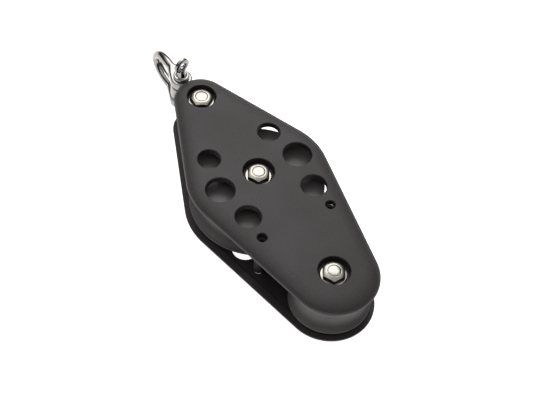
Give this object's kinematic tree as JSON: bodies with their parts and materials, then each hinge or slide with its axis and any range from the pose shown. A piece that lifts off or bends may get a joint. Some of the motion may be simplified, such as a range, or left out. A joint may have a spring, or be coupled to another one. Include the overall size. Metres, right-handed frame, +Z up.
{
  "type": "double sheave block",
  "caption": "In-line pulley block with a large and a small grooved sheave between two rounded dark metal cheeks, and a swivel D shackle at the head.",
  "frame": {"origin": "under the middle of the bounding box, on the outer face of the lower cheek, which the block lies on", "axes": "+Y along the block from the small sheave to the shackle, +X across the cheeks, +Z up along the sheave axles"},
  "size_m": [0.0894, 0.2363, 0.0476],
  "materials": {
    "cheek_metal": "dark grey hard anodised, fine matte",
    "sheave_plastic": "dark moulded acetal, satin",
    "bearing_plastic": "pale machined bearing plastic",
    "stainless": "polished stainless steel"
  },
  "bodies": {
    "block_frame": {"cheek_upper": "cheek_metal", "cheek_lower": "cheek_metal", "tie_tube_left": "cheek_metal", "tie_tube_right": "cheek_metal", "head_bolt": "stainless", "head_nut": "stainless", "head_nut_washer": "stainless", "head_bolt_washer": "stainless", "main_bolt": "stainless", "main_nut": "stainless", "main_nut_washer": "stainless", "main_bolt_washer": "stainless", "tail_bolt": "stainless", "tail_nut": "stainless", "tail_nut_washer": "stainless", "tail_bolt_washer": "stainless", "main_sleeve": "stainless", "main_thrust_washer_upper": "bearing_plastic", "main_thrust_washer_lower": "bearing_plastic", "small_sleeve": "stainless", "small_thrust_washer_upper": "bearing_plastic", "small_thrust_washer_lower": "bearing_plastic", "head_spacer": "stainless", "head_strap": "stainless", "swivel_washer_inner": "bearing_plastic", "swivel_washer_outer": "bearing_plastic"},
    "main_sheave_set": {"main_sheave": "sheave_plastic", "main_bush": "bearing_plastic"},
    "small_sheave_set": {"small_sheave": "sheave_plastic", "small_bush": "bearing_plastic"},
    "swivel": {"swivel_eye": "stainless", "swivel_nut": "stainless"},
    "shackle": {"shackle_bow": "stainless"},
    "pin": {"shackle_pin": "stainless"}
  },
  "joints": [
    {"name": "main_sheave_spin", "type": "hinge", "parent": "block_frame", "child": "main_sheave_set", "pos_m": [0, -0.0079, 0.0191], "axis": [0, 0, 1], "continuous": true},
    {"name": "small_sheave_spin", "type": "hinge", "parent": "block_frame", "child": "small_sheave_set", "pos_m": [0, -0.0904, 0.0191], "axis": [0, 0, 1], "continuous": true},
    {"name": "swivel_turn", "type": "hinge", "parent": "block_frame", "child": "swivel", "pos_m": [0, 0.0758, 0.0191], "axis": [0, 1, 0], "continuous": true},
    {"name": "shackle_swing", "type": "hinge", "parent": "swivel", "child": "shackle", "pos_m": [0, 0.0843, 0.0191], "axis": [0, 0, 1], "range_deg": [-90, 90]},
    {"name": "shackle_pin_withdraw", "type": "slide", "parent": "shackle", "child": "pin", "axis": [0, 0, 1], "range_m": [0, 0.026]}
  ]
}
